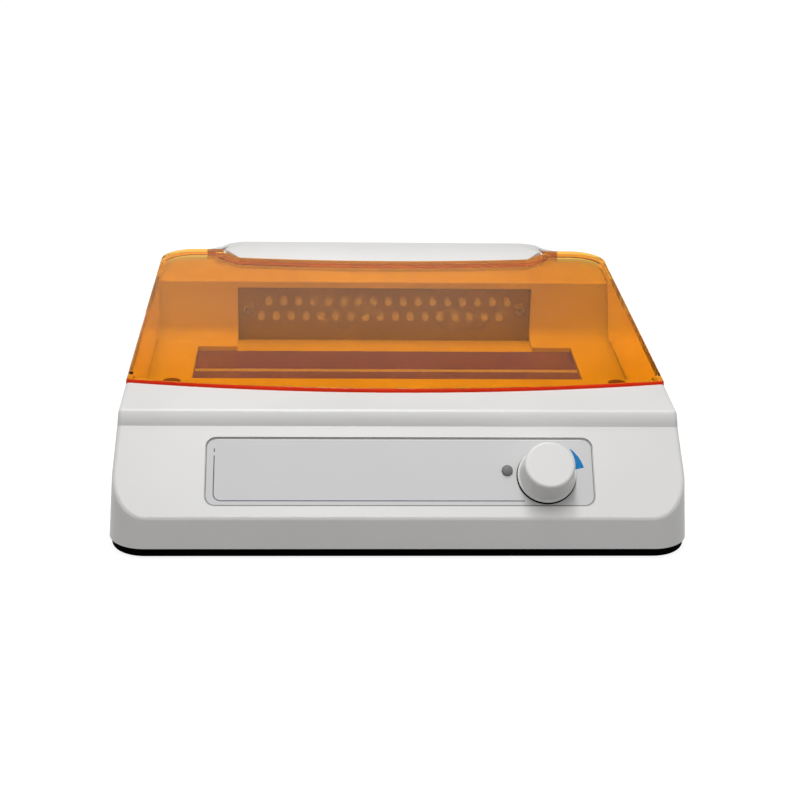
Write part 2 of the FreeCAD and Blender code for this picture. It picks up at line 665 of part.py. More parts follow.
def make_indicator_lens():
    radius = cell("indicator_diameter") / 2
    deep = -cell("indicator_length")
    rise = fixed(0.7)
    dome_radius = (radius * radius + rise * rise) / (rise * 2)
    lens = turned("indicator_lens", [
        (radius * 0.55, deep), (radius, deep), (radius, fixed(0.2), dome_radius, 1), (ZERO, rise + 0.2),
        (ZERO, fixed(-1)), (radius * 0.55, fixed(-1))])
    panel_place(lens, cell("indicator_x"), cell("panel_item_centre") + cell("indicator_rise"), ZERO)
    return lens


def make_indicator_lamp():
    lamp = turned("indicator_lamp", [
        (ZERO, -cell("indicator_length") - 3), (fixed(2.2), -cell("indicator_length") - 3),
        (fixed(2.2), -cell("indicator_length")), (fixed(1.45), -cell("indicator_length")),
        (fixed(1.45), fixed(-1.3)), (ZERO, fixed(-1.3))])
    panel_place(lamp, cell("indicator_x"), cell("panel_item_centre") + cell("indicator_rise"), ZERO)
    return lamp


def screw_well(label, x, y):
    """The hole and the counterbore for one screw from under the tray."""
    hole = round_bar("screw_hole", cell("screw_diameter") + 0.4, fixed(12), x, y, ZERO)
    head_room = round_bar("head_room", cell("screw_head") + 0.6, HEAD_SEAT, x, y, ZERO)
    return fuse(label, [hole, head_room])


def make_base_tray():
    body = new_body("tray_body")
    inset = cell("tray_inset")
    outer = sketch_on(body, "XY_Plane", TRAY_BOTTOM)
    rectangle(outer, ZERO, ZERO, (HALF_WIDTH - inset) * 2, (HALF_DEPTH - inset) * 2)
    slab = pad(body, outer, cell("tray_height"))
    rounded = soften(body, slab, cell("corner_radius") - inset, upright)
    soften(body, rounded, cell("tray_floor") * 0.8,
           lambda edge: abs(edge.CenterOfMass.z - TRAY_BOTTOM.number) < 0.01)
    lip_inset = WALL + cell("lip_gap")
    lip = sketch_on(body, "XY_Plane", PARTING)
    corner = cell("corner_radius") - lip_inset
    half_w, half_d = HALF_WIDTH - lip_inset, HALF_DEPTH - lip_inset
    outline(lip, rounded_corners(half_w, half_d, corner))
    pad(body, lip, cell("tray_lip"))
    hollow = sketch_on(body, "XY_Plane", PARTING + cell("tray_lip"))
    outline(hollow, rounded_corners(half_w - 2, half_d - 2, corner - 2))
    pocket(body, hollow, PARTING + cell("tray_lip") - TRAY_FLOOR)
    posts = [body]
    for x, y in DECK_BOARD_POSTS:
        posts.append(round_bar("board_post", fixed(7), cell("post_height"), x, y, TRAY_FLOOR))
    for x, y in DRIVER_POSTS:
        posts.append(round_bar("driver_post", fixed(6), cell("driver_lift"), x, y, TRAY_FLOOR))
    solid = fuse("tray_solid", posts)
    tools = []
    for side, y in BOSS_PLACES:
        tools.append(round_bar("boss_room", cell("boss_radius") * 2 + 1, fixed(12),
                               BOSS_X * side, y, TRAY_FLOOR))
        tools.append(screw_well("base_screw_well", BOSS_X * side, y))
    for side in (-1, 1):
        tools.append(screw_well("pillar_screw_well", PLUG_X * side, PLUG_Y))
    for x, y in FOOT_PLACES:
        tools.append(round_bar("foot_seat", cell("foot_diameter") + 0.3, cell("foot_recess") + TRAY_BOTTOM,
                               x, y, ZERO))
    for x, y in DECK_BOARD_POSTS:
        tools.append(round_bar("post_bore", fixed(2.5), fixed(3.5), x, y,
                               TRAY_FLOOR + cell("post_height") - 3))
    for x, y in DRIVER_POSTS:
        tools.append(round_bar("driver_bore", fixed(2.5), fixed(5), x, y,
                               TRAY_FLOOR + cell("driver_lift") - 4))
    return cut("base_tray", solid, fuse("tray_openings", tools))


def rounded_corners(half_w, half_d, corner):
    """A rectangle outline whose corners are arcs."""
    return [(-half_w + corner, -half_d), (half_w - corner, -half_d, corner, 1), (half_w, -half_d + corner),
            (half_w, half_d - corner, corner, 1), (half_w - corner, half_d),
            (-half_w + corner, half_d, corner, 1),
            (-half_w, half_d - corner), (-half_w, -half_d + corner, corner, 1)]


FOOT_PLACES = [((HALF_WIDTH - cell("foot_inset")) * sx, (HALF_DEPTH - cell("foot_inset")) * sy)
               for sx in (-1, 1) for sy in (-1, 1)]
DECK_BOARD_WIDTH = cell("plate_width") - cell("plate_ledge") * 2 - 4
DECK_BOARD_LENGTH = PLATE_LENGTH - cell("plate_ledge") * 2 - 4
DECK_BOARD_POSTS = [((DECK_BOARD_WIDTH / 2 - 5) * sx, PLATE_MIDDLE + (DECK_BOARD_LENGTH / 2 - 5) * sy)
                    for sx in (-1, 0, 1) for sy in (-1, 1)]
DRIVER_X = cell("driver_x")
DRIVER_Y = -HALF_DEPTH + cell("driver_inset")
DRIVER_POSTS = [(DRIVER_X + (cell("driver_width") / 2 - 4) * sx,
                 DRIVER_Y + (cell("driver_length") / 2 - 4) * sy)
                for sx in (-1, 1) for sy in (-1, 1)]
SPREADER_FOOT = TRAY_FLOOR + cell("post_height")
DECK_BOARD_FOOT = SPREADER_FOOT + cell("spreader_thickness")
DECK_BOARD_TOP = DECK_BOARD_FOOT + cell("board_thickness")


def vector(x, y, z):
    return FreeCAD.Vector(float(x), float(y), float(z))


UP, DOWN = vector(0, 0, 1), vector(0, 0, -1)
BACKWARDS, FORWARDS = vector(0, 1, 0), vector(0, -1, 0)


def screw(seat, into, shank, length, head, head_height):
    """A pan head screw whose head sits on the seat point and whose shank goes into the work."""
    out = into * -1
    head_solid = Part.makeCylinder(float(head) / 2, float(head_height), seat, out)
    shank_solid = Part.makeCylinder(float(shank) / 2, float(length), seat, into)
    return head_solid.fuse(shank_solid)


def make_base_screws():
    seats = [vector(BOSS_X * side, y, HEAD_SEAT) for side, y in BOSS_PLACES]
    seats += [vector(PLUG_X * side, PLUG_Y, HEAD_SEAT) for side in (-1, 1)]
    return group("base_screws", [
        screw(seat, UP, cell("screw_diameter") - 0.1, cell("screw_length") - 1, cell("screw_head"),
              cell("head_depth")) for seat in seats])


def make_feet():
    top = TRAY_BOTTOM + cell("foot_recess")
    feet = [Part.makeCylinder(float(cell("foot_diameter")) / 2, float(top), vector(x, y, 0), UP)
            for x, y in FOOT_PLACES]
    return group("rubber_feet", feet)


def sheet_of(label, y, foot, width, length, thickness):
    """A flat rectangular sheet on the part's middle line."""
    return block(label, ZERO, y, foot, width, length, thickness)


def make_plate_stack():
    """Gasket, diffuser, blue plate and cutting glass, one on the other in the deck's recess."""
    width, length, ledge = cell("plate_width"), PLATE_LENGTH, cell("plate_ledge")
    ring = sheet_of("gasket_blank", PLATE_MIDDLE, PLATE_SEAT, width, length, cell("gasket_thickness"))
    inside = sheet_of("gasket_hole", PLATE_MIDDLE, PLATE_SEAT - 1,
                      width - ledge * 2, length - ledge * 2, fixed(5))
    gasket = cut("plate_gasket", ring, inside)
    diffuser = sheet_of("light_diffuser", PLATE_MIDDLE, DIFFUSER_FOOT, width, length,
                        cell("diffuser_thickness"))
    plate = new_body("blue_filter_plate")
    plate_sketch = sketch_on(plate, "XY_Plane", PLATE_FOOT)
    rectangle(plate_sketch, ZERO, PLATE_MIDDLE, width, length)
    pad(plate, plate_sketch, cell("plate_thickness"))
    glass = new_body("cutting_glass")
    glass_sketch = sketch_on(glass, "XY_Plane", PLATE_TOP)
    glass_middle = PLATE_REAR - length + cell("glass_length") / 2
    rectangle(glass_sketch, ZERO, glass_middle, width, cell("glass_length"))
    slab = pad(glass, glass_sketch, cell("glass_thickness"))
    soften(glass, slab, cell("glass_thickness") / 4,
           lambda edge: edge.CenterOfMass.z > float(PLATE_TOP + cell("glass_thickness")) - 0.01)
    return [gasket, diffuser, plate, glass]


def make_deck_lights():
    """The lamp board under the plate, on a metal sheet that spreads its heat."""
    spreader = sheet_of("heat_spreader", PLATE_MIDDLE, SPREADER_FOOT, DECK_BOARD_WIDTH, DECK_BOARD_LENGTH,
                        cell("spreader_thickness"))
    board = sheet_of("deck_lamp_board", PLATE_MIDDLE, DECK_BOARD_FOOT, DECK_BOARD_WIDTH, DECK_BOARD_LENGTH,
                     cell("board_thickness"))
    holes, holes_again = [
        fuse(name + "_holes", [round_bar(name + "_hole", fixed(2.9), fixed(10), x, y, TRAY_FLOOR + 1)
                               for x, y in DECK_BOARD_POSTS])
        for name in ("board", "spreader")]
    pitch, size = float(cell("deck_lamp_pitch")), float(cell("deck_lamp_size"))
    across = int((DECK_BOARD_WIDTH.number - 20) / pitch)
    along = int((DECK_BOARD_LENGTH.number - 22) / pitch)
    lamps = []
    for column in range(across + 1):
        for row in range(along + 1):
            x = (column - across / 2) * pitch
            y = PLATE_MIDDLE.number + (row - along / 2) * pitch
            corner = vector(x - size / 2, y - size / 2, DECK_BOARD_TOP)
            lamps.append(Part.makeBox(size, size, float(cell("deck_lamp_height")), corner))
    seats = [vector(x, y, DECK_BOARD_TOP) for x, y in DECK_BOARD_POSTS]
    screws = group("board_screws", [screw(seat, DOWN, fixed(2.4), fixed(4.5), fixed(4.6), fixed(1.4))
                                    for seat in seats])
    return [cut("heat_spreader_plate", spreader, holes_again), cut("deck_light_board", board, holes),
            group("deck_lamps", lamps), screws]


def lamp_places():
    """Two staggered rows of round lamps: (x, z) of each one's middle."""
    count = int((cell("window_width").number - 24) / cell("lamp_pitch").number)
    places = []
    for row in (-1, 1):
        z = cell("lamp_row_height").number + row * cell("lamp_row_gap").number / 2
        for number in range(count):
            x = (number - (count - 1) / 2) * cell("lamp_pitch").number + row * cell("lamp_shift").number
            places.append((x, z))
    return places


def make_rear_lights():
    """Window, lamp board, lamps and spacers in the rear block."""
    gap = cell("window_gap")
    window = new_body("lamp_window")
    sketch = sketch_on(window, "XZ_Plane", -(BLOCK_FRONT + gap))
    middle = WINDOW_FOOT + cell("window_height") / 2
    rectangle(sketch, ZERO, middle, cell("window_width") - gap * 2, cell("window_height") - gap * 2)
    pad(window, sketch, cell("window_thickness"), back=True)
    holes = sketch_on(window, "XZ_Plane", -(BLOCK_FRONT + gap))
    screw_x, screw_z = cell("window_screw_x"), cell("lamp_row_height") + 0.6
    for side in (-1, 1):
        disc(holes, screw_x * side, screw_z, cell("screw_diameter") + 0.3)
    pocket(window, holes, cell("window_thickness"))
    window_back = BLOCK_FRONT + gap + cell("window_thickness")
    board = new_body("lamp_board")
    board_sketch = sketch_on(board, "XZ_Plane", -BOARD_FACE)
    rectangle(board_sketch, ZERO, (LAMP_BOARD_FOOT + LAMP_BOARD_TOP) / 2, LAMP_BOARD_WIDTH,
              LAMP_BOARD_TOP - LAMP_BOARD_FOOT)
    pad(board, board_sketch, cell("board_thickness"), back=True)
    board_holes = sketch_on(board, "XZ_Plane", -BOARD_FACE)
    for side in (-1, 1):
        disc(board_holes, screw_x * side, screw_z, cell("screw_diameter") - 0.4)
    for x, height in LAMP_POSTS:
        disc(board_holes, x, height, fixed(2.5))
    pocket(board, board_holes, cell("board_thickness"))
    radius = cell("lamp_diameter").number / 2
    straight = cell("lamp_height").number - radius
    lamps = []
    for x, z in lamp_places():
        stem = Part.makeCylinder(radius, straight, vector(x, BOARD_FACE, z), FORWARDS)
        dome = Part.makeSphere(radius, vector(x, BOARD_FACE.number - straight, z), FORWARDS, 0, 90, 360)
        lamps.append(stem.fuse(dome))
    spacer_length = BOARD_FACE - window_back
    spacers = []
    for side in (-1, 1):
        seat = vector(screw_x * side, window_back, screw_z)
        tube = Part.makeCylinder(3, spacer_length.number, seat, BACKWARDS)
        bore = Part.makeCylinder(cell("screw_diameter").number / 2 + 0.15, spacer_length.number,
                                 seat, BACKWARDS)
        spacers.append(tube.cut(bore))
    window_screws = [screw(vector(screw_x * side, BLOCK_FRONT + gap, screw_z), BACKWARDS,
                           cell("screw_diameter") - 0.6, spacer_length + cell("window_thickness") + 1.5,
                           fixed(4.6), fixed(1.3)) for side in (-1, 1)]
    post_screws = [screw(vector(x, BOARD_FACE + cell("board_thickness"), height), FORWARDS, fixed(2.2),
                         cell("board_thickness") + 4, fixed(4.4), fixed(1.2)) for x, height in LAMP_POSTS]
    return [window, board, group("rear_lamps", lamps), group("window_spacers", spacers),
            group("window_screws", window_screws), group("lamp_board_screws", post_screws)]


def make_lid():
    """The deep amber cover: a drafted shell whose side walls reach down to the deck."""
    wall, base = cell("lid_wall"), DECK + cell("lid_gap")
    spread = SLANT * (LID_TOP - base)
    rear_corner = cell("lid_corner")
    lid = new_body("lid_body")

    def plan(sketch, inset, corner):
        grown = spread - inset
        half, rear, radius = LID_HALF + grown, LID_REAR + grown, BOW_RADIUS + grown
        front = LID_FRONT - BOW - grown + BOW * (half * half / (LID_HALF * LID_HALF)) * (BOW_RADIUS / radius)
        outline(sketch, [(-half, front, radius, 1), (half, front), (half, rear - corner, corner, 1),
                         (half - corner, rear), (-half + corner, rear, corner, 1), (-half, rear - corner)])

    outer = sketch_on(lid, "XY_Plane", base)
    plan(outer, ZERO, rear_corner + spread)
    outer_pad = pad(lid, outer, LID_TOP - base, draft=-DRAFT)
    front_rounded = soften(lid, outer_pad, cell("lid_edge_round") * 2,
                           lambda edge: upright(edge) and edge.CenterOfMass.y < LID_FRONT.number + 5)
    soften(lid, front_rounded, cell("lid_edge_round"),
           lambda edge: abs(edge.BoundBox.ZMin - LID_TOP.number) < 0.01)
    inner = sketch_on(lid, "XY_Plane", base)
    plan(inner, wall, rear_corner + spread - wall)
    pocket(lid, inner, LID_TOP - base - wall, back=True, draft=-DRAFT)
    # the wall round the notch, then the notch itself
    notch_wall = sketch_on(lid, "XY_Plane", LID_TOP - cell("rear_flange_height"))
    outline(notch_wall, notch_outline(wall, LID_REAR - 1))
    pad(lid, notch_wall, cell("rear_flange_height") - 1)
    notch = sketch_on(lid, "XY_Plane", base)
    outline(notch, notch_outline(ZERO, LID_REAR + 20))
    pocket(lid, notch, FAR, back=True)
    # the side view: shallow flange over console and rear block, deep wall over the deck between
    flange = LID_TOP - cell("flange_height")
    low = base - 1
    run = cell("lid_gap") + 0.6
    side_cut(lid, [(-FAR, low), (CONSOLE_FOOT + run, low), (RIM + run, flange), (-FAR, flange)])
    foot = cell("deck_fillet")
    side_cut(lid, [(BLOCK_FRONT - foot - run, low), (FAR, low), (FAR, flange), (BLOCK_FRONT - run, flange),
                   (BLOCK_FRONT - run, DECK + foot)])
    swing = LID_TOP - cell("rear_flange_height")
    side_cut(lid, [(PIVOT_Y - cell("swing_relief"), flange - 1), (FAR, flange - 1), (FAR, swing),
                   (PIVOT_Y - cell("swing_relief") + 3, swing)])
    radius = cell("ear_radius")
    for side in (-1, 1):
        ear = sketch_on(lid, "YZ_Plane", NOTCH_HALF * side)
        outline(ear, [(PIVOT_Y - radius, PIVOT_Z, radius, 1), (PIVOT_Y + radius, PIVOT_Z),
                      (PIVOT_Y + radius, LID_TOP - 0.5), (PIVOT_Y - radius, LID_TOP - 0.5)])
        pad(lid, ear, cell("ear_thickness"), back=side < 0)
    bore = sketch_on(lid, "YZ_Plane")
    disc(bore, PIVOT_Y, PIVOT_Z, cell("pin_diameter") + cell("pin_play") * 2)
    pocket(lid, bore, (NOTCH_HALF + cell("ear_thickness") + 1) * 2, both=True)
    lid.Label = "amber_lid"
    return lid


def make_hinge():
    """Pins, washers and brackets that carry the cover inside the hump."""
    radius = cell("pin_diameter").number / 2
    inner = NOTCH_HALF - cell("washer_thickness") - 0.1
    bracket_start = inner - cell("bracket_width")
    pin_length = (NOTCH_HALF + cell("ear_thickness") - bracket_start).number + 1
    pins, washers = [], []
    for side in (-1, 1):
        outwards = vector(side, 0, 0)
        pin_seat = vector(bracket_start * side, PIVOT_Y, PIVOT_Z)
        pins.append(Part.makeCylinder(radius, pin_length, pin_seat, outwards))
        washer_seat = vector((inner + 0.05) * side, PIVOT_Y, PIVOT_Z)
        washer = Part.makeCylinder(cell("ear_radius").number, cell("washer_thickness").number,
                                   washer_seat, outwards)
        washer_bore = Part.makeCylinder(radius + 0.05, cell("washer_thickness").number, washer_seat, outwards)
        washers.append(washer.cut(washer_bore))
    return [group("hinge_pins", pins), group("hinge_washers", washers)]


def make_hinge_brackets():
    solids = []
    inner = NOTCH_HALF - cell("washer_thickness") - 0.1
    start = inner - cell("bracket_width")
    for side in (-1, 1):
        name = "left" if side < 0 else "right"
        body = new_body("%s_bracket" % name)
        view = sketch_on(body, "YZ_Plane", start * side)
        head = cell("ear_radius")
        outline(view, [(PIVOT_Y + head, SHELF), (PIVOT_Y + head, PIVOT_Z, head, 1),
                       (PIVOT_Y - head, PIVOT_Z), (PIVOT_Y - head, SHELF)])
        pad(body, view, cell("bracket_width"), back=side < 0)
        flange = sketch_on(body, "XY_Plane", SHELF)
        rectangle(flange, (start - 5) * side, PIVOT_Y, fixed(12), fixed(16))
        pad(body, flange, cell("bracket_foot"))
        bore = sketch_on(body, "YZ_Plane")
        disc(bore, PIVOT_Y, PIVOT_Z, cell("pin_diameter") + 0.02)
        pocket(body, bore, NOTCH_HALF * 2, both=True)
        holes = sketch_on(body, "XY_Plane", SHELF)
        for step in (-1, 1):
            disc(holes, cell("bracket_screw_x") * side, PIVOT_Y + 4 * step, cell("screw_diameter") + 0.2)
        pocket(body, holes, cell("bracket_foot"), back=True)
        solids.append(body)
    brackets = fuse("hinge_brackets", solids)
    doc.recompute()
    seats = [vector(cell("bracket_screw_x") * side, PIVOT_Y + 4 * step, SHELF + cell("bracket_foot"))
             for side in (-1, 1) for step in (-1, 1)]
    screws = group("bracket_screws", [screw(seat, DOWN, cell("screw_diameter") - 0.1,
                                            fixed(7), fixed(5), fixed(1.8))
                                      for seat in seats])
    return [brackets, screws]


def hump_plan(label, inset, foot):
    """Plan of the hump, open in front: between the notch's flanks, and out behind the cover."""
    gap = cell("hump_gap") + inset
    half, front_half = NOTCH_HALF - gap, NOTCH_FRONT_HALF - gap * 0.6
    corner, flank = NOTCH_CORNER + gap, NOTCH_FLANK_END + gap * 0.4
    tip_y = LID_REAR - cell("notch_depth") - 2
    tip_x = half - (half - front_half) * (flank - tip_y) / (flank - corner)
    wing_front = LID_REAR + cell("wing_gap") + inset
    back = HALF_DEPTH - SLANT * (LID_TOP - PARTING) - inset
    wing = half + cell("hump_wing")
    body = new_body(label)
    sketch = sketch_on(body, "XY_Plane", foot)
    left = [(-half, back), (-half, flank), (-tip_x, tip_y)]
    if inset.number == 0:
        left = [(-wing, back), (-wing, wing_front), (-half, wing_front), (-half, flank), (-tip_x, tip_y)]
    right = [(-x, y) for x, y in reversed(left)]
    outline(sketch, left + right)
    pad(body, sketch, LID_TOP + 12 - SHELF)
    return body


def hump_slope(label, inset):
    """The hump's front face and slope, swept round the centre of the cover's bow."""
    crest, edge = LID_TOP + cell("hump_crest") - inset, LID_TOP + cell("hump_edge") - inset
    centre = LID_REAR - cell("notch_depth") + BOW_RADIUS
    front = cell("hump_gap") + inset - BOW_RADIUS
    body = new_body(label)
    sketch = sketch_on(body, "YZ_Plane")
    sketch.setExpression("AttachmentOffset.Base.x", centre.formula)
    outline(sketch, [(front, SHELF - 2), (front + 60, SHELF - 2), (front + 60, crest),
                     (front + cell("hump_rise"), crest, cell("hump_curve"), 1), (front, edge)])
    sweep = body.newObject("PartDesign::Revolution", "%s_Revolution" % body.Name)
    sweep.Profile = sketch
    sweep.ReferenceAxis = (sketch, ["V_Axis"])
    sweep.Midplane = True
    sweep.Angle = 24
    doc.recompute()
    return body


def lid_swing_room(side):
    """Where a flank of the notch passes when the cover opens: a block less a cone on the hinge axis."""
    gap = cell("swing_gap")
    length = NOTCH_HALF - NOTCH_FRONT_HALF
    cone = doc.addObject("Part::Cone", "swing_cone")
    cone.setExpression("Radius1", (PIVOT_Y - NOTCH_CORNER - gap).formula)
    cone.setExpression("Radius2", (PIVOT_Y - NOTCH_FLANK_END - gap).formula)
    cone.setExpression("Height", length.formula)
    place(cone, NOTCH_FRONT_HALF * side, PIVOT_Y, PIVOT_Z)
    cone.Placement.Rotation = FreeCAD.Rotation(FreeCAD.Vector(0, 1, 0), 90 * side)
    room = block("swing_block", (NOTCH_FRONT_HALF + 20) * side, PIVOT_Y - 40 + cell("swing_behind"),
                 PIVOT_Z - 3, fixed(40), fixed(80), fixed(40))
    return cut("swing_room", room, cone)


def make_hinge_cover():
    """The white hump over the hinge: plan, swept side view and front view cut into one another."""
    outer = hump_plan("hump_plan", ZERO, SHELF)
    crest = LID_TOP + cell("hump_crest")
    back = HALF_DEPTH - SLANT * (LID_TOP - PARTING)
    shoulders = new_body("hump_shoulders")
    face = sketch_on(shoulders, "XZ_Plane")
    half = NOTCH_HALF - cell("hump_gap")
    wing = half + cell("hump_wing") + 1
    shoulder_x = NOTCH_FRONT_HALF - 4
    outline(face, [(-wing, SHELF - 1), (wing, SHELF - 1), (wing, LID_TOP - 2.8), (half + 2.5, LID_TOP - 0.2),
                   (half - 2.5, LID_TOP + 2.0), (shoulder_x, crest), (-shoulder_x, crest),
                   (-half + 2.5, LID_TOP + 2.0), (-half - 2.5, LID_TOP - 0.2), (-wing, LID_TOP - 2.8)])
    pad(shoulders, face, FAR * 2, both=True)
    round_back = cell("hump_back_round")
    rear_view = side_prism("hump_rear_view", [
        (ZERO, SHELF - 3), (FAR, SHELF - 3), (FAR, crest - round_back),
        (back, crest - round_back, round_back, 1),
        (back - round_back, crest), (back - round_back - 1, crest + 5), (ZERO, crest + 5)])
    shape = common("hump_profile", common("hump_top", outer, hump_slope("hump_slope", ZERO)), rear_view)
    solid = common("hump_solid", shape, shoulders)
    inner = hump_plan("hump_inner", cell("hump_wall"), SHELF - 1)
    hollow = common("hump_hollow", inner, hump_slope("hump_under", cell("hump_wall")))
    pieces = [cut("hump_shell", solid, hollow)]
    for side in (-1, 1):
        pieces.append(round_bar("cover_boss", fixed(8), crest - SHELF - 0.8, cell("cover_screw_x") * side,
                                PIVOT_Y, SHELF))
    tools = []
    for side in (-1, 1):
        tools.append(lid_swing_room(side))
        tools.append(round_bar("cover_bore", cell("screw_diameter"), fixed(7), cell("cover_screw_x") * side,
                               PIVOT_Y, SHELF - 1))
        tools.append(block("pin_slot", (NOTCH_HALF - 1) * side, PIVOT_Y, SHELF - 1, fixed(10),
                           cell("ear_radius") * 2 + 1, PIVOT_Z - SHELF + cell("ear_radius") + 1.4))
    return cut("hinge_cover", fuse("hump_with_bosses", pieces), fuse("hump_slots", tools))


def make_cover_screws():
    seats = [vector(cell("cover_screw_x") * side, PIVOT_Y, SHELF - WALL) for side in (-1, 1)]
    return group("cover_screws", [screw(seat, UP, cell("screw_diameter") - 0.1,
                                        WALL + 5, cell("screw_head"), fixed(2))
                                  for seat in seats])


def make_shelf_plugs():
    """Rubber plugs over the two screws that hold the console down, and those screws."""
    depth = cell("plug_depth")
    plugs, screws = [], []
    for side in (-1, 1):
        seat = vector(PLUG_X * side, PLUG_Y, SHELF - cell("plug_cap"))
        plugs.append(Part.makeCylinder(cell("plug_diameter").number / 2, cell("plug_cap").number + 0.3,
                                       seat, UP))
        head = depth - cell("plug_cap")
        screws.append(screw(vector(PLUG_X * side, PLUG_Y, SHELF - depth), DOWN, cell("plug_screw") - 0.1,
                            fixed(22), fixed(7), head))
    return [group("shelf_plugs", plugs), group("console_screws", screws)]


def make_pillars():
    """Two metal pillars that stand on the tray and carry the console, drilled from both ends."""
    pillars = []
    for side in (-1, 1):
        place_x = PLUG_X * side
        foot = vector(place_x, PLUG_Y, TRAY_FLOOR)
        pillar = Part.makeCylinder(cell("pillar_diameter").number / 2, (PLUG_FOOT - TRAY_FLOOR).number,
                                   foot, UP)
        low_bore = Part.makeCylinder(cell("screw_diameter").number / 2, cell("screw_length").number, foot, UP)
        high_bore = Part.makeCylinder(cell("plug_screw").number / 2, 20,
                                      vector(place_x, PLUG_Y, PLUG_FOOT - 20), UP)
        pillars.append(pillar.cut(low_bore).cut(high_bore))
    return group("console_pillars", pillars)


def make_driver():
    """The lamp driver: a board on posts with its main components."""
    foot = TRAY_FLOOR + cell("driver_lift")
    board = block("driver_blank", DRIVER_X, DRIVER_Y, foot, cell("driver_width"), cell("driver_length"),
                  cell("board_thickness"))
    holes = fuse("driver_holes", [round_bar("driver_hole", fixed(2.9), fixed(12), x, y, TRAY_FLOOR + 1)
                                  for x, y in DRIVER_POSTS])
    top = foot + cell("board_thickness")
    x0, y0 = DRIVER_X.number, DRIVER_Y.number
    parts = [Part.makeCylinder(5, 12, vector(x0 - 26, y0 - 6, top), UP),
             Part.makeCylinder(5, 12, vector(x0 - 13, y0 - 6, top), UP),
             Part.makeBox(12, 12, 7, vector(x0 - 2, y0 - 12, top)),
             Part.makeBox(10, 5, 14, vector(x0 + 16, y0 + 6, top)),
             Part.makeBox(14, 8, 8, vector(x0 - 30, y0 + 8, top)),
             Part.makeBox(12, 6, 6, vector(x0 + 16, y0 - 13, top))]
    seats = [vector(x, y, top) for x, y in DRIVER_POSTS]
    screws = group("driver_screws", [screw(seat, DOWN, fixed(2.4), fixed(5), fixed(4.6), fixed(1.4))
                                     for seat in seats])
    return [cut("driver_board", board, holes), group("driver_components", parts), screws]


def make_power_inlet():
    """The round jack with its centre pin, turned, and pointed out of the rear."""
    barrel, bore = cell("inlet_size") / 2, cell("inlet_bore") / 2
    depth = cell("inlet_depth")
    inlet = turned("power_inlet", [
        (ZERO, -depth), (barrel, -depth), (barrel, ZERO), (barrel + 1.5, ZERO), (barrel + 1.5, fixed(1.6)),
        (bore, fixed(1.6)), (bore, -(depth - 4)), (fixed(1), -(depth - 4)),
        (fixed(1), fixed(-1)), (ZERO, fixed(-1))])
    inlet.Placement.Rotation = FreeCAD.Rotation(vector(1, 0, 0), -90)
    place(inlet, cell("inlet_x"), RECESS_FLOOR, cell("rear_item_height"))
    nut = hexagon_ring("inlet_nut", cell("inlet_size") + 3, cell("inlet_size") + 0.04, fixed(2))
    nut.Placement.Rotation = FreeCAD.Rotation(vector(1, 0, 0), 90)
    place(nut, cell("inlet_x"), RECESS_FLOOR - INNER_SKIN, cell("rear_item_height"))
    return [inlet, nut]


ROCKER_PIVOT_Y = RECESS_FLOOR - 1.5


def make_power_switch():
    """A panel switch: a box with a flange, and the rocker on its cross pin."""
    width, height, depth = cell("switch_width"), cell("switch_height"), cell("switch_depth")
    x, z = cell("switch_x"), cell("rear_item_height")
    flange = block("switch_flange", x, RECESS_FLOOR + cell("switch_flange") / 2, z - height / 2 - 1, width + 3,
                   cell("switch_flange"), height + 2)
    box = block("switch_box", x, RECESS_FLOOR - depth / 2, z - height / 2, width, depth, height)
    room = block("rocker_room", x, RECESS_FLOOR, z - height / 2 + 1.5, width - 3, fixed(14), height - 3)
    pin_bore = round_bar("rocker_bore", fixed(2.1), height - 1.6, x, ROCKER_PIVOT_Y, z - height / 2 + 0.8)
    housing = cut("power_switch", fuse("switch_solid", [flange, box]), fuse("switch_hollow", [room, pin_bore]))
    rocker = new_body("rocker_body")
    half = (width - 3) / 2 - 0.7
    face = sketch_on(rocker, "XY_Plane", -(height - 3) / 2 + 0.3)
    outline(face, [(-half, fixed(-2)), (ZERO, fixed(-4.5)), (half, fixed(-2)), (half, fixed(3.9)),
                   (ZERO, fixed(2.6)), (-half, fixed(3.9))])
    pad(rocker, face, height - 3.6)
    pin = sketch_on(rocker, "XY_Plane", -(height - 2.2) / 2)
    disc(pin, ZERO, ZERO, fixed(2))
    pad(rocker, pin, height - 2.2)
    rocker.Label = "power_rocker"
    place(rocker, x, ROCKER_PIVOT_Y, z)
    rocker.Placement.Rotation = FreeCAD.Rotation(vector(0, 0, 1), -cell("rocker_tilt").number)
    return [housing, rocker]


def build():
    pieces = [make_upper_housing(), make_base_tray(), make_control_label(), make_knob(), make_pot_shaft(),
              make_potentiometer(), make_pot_nut(), make_indicator_lens(), make_indicator_lamp(), make_lid(),
              make_hinge_cover(), make_cover_screws(), make_base_screws(), make_feet(), make_pillars()]
    for several in (make_plate_stack(), make_deck_lights(), make_rear_lights(), make_hinge(),
                    make_hinge_brackets(), make_shelf_plugs(), make_driver(), make_power_inlet(),
                    make_power_switch()):
        pieces.extend(several)
    doc.recompute()
    for item in doc.Objects:
        if "Invalid" in item.State or "Error" in item.State:
            raise RuntimeError("%s failed: %s" % (item.Name, item.State))
    for piece in pieces:
        if piece.Shape.isNull() or not piece.Shape.isValid():
            raise RuntimeError("%s has no valid shape" % piece.Label)
        piece.Shape.exportStep("parts/%s.step" % piece.Label)
    return pieces


if __name__ == "__main__":
    build()
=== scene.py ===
"""Blue light gel bench: white moulded housing, deep amber cover, blue filter plate and rear lamp window.

Names that end in _mm hold millimetres, and all other lengths are metres.
"""

import math

import bmesh
import bpy
from mathutils import Matrix, Vector


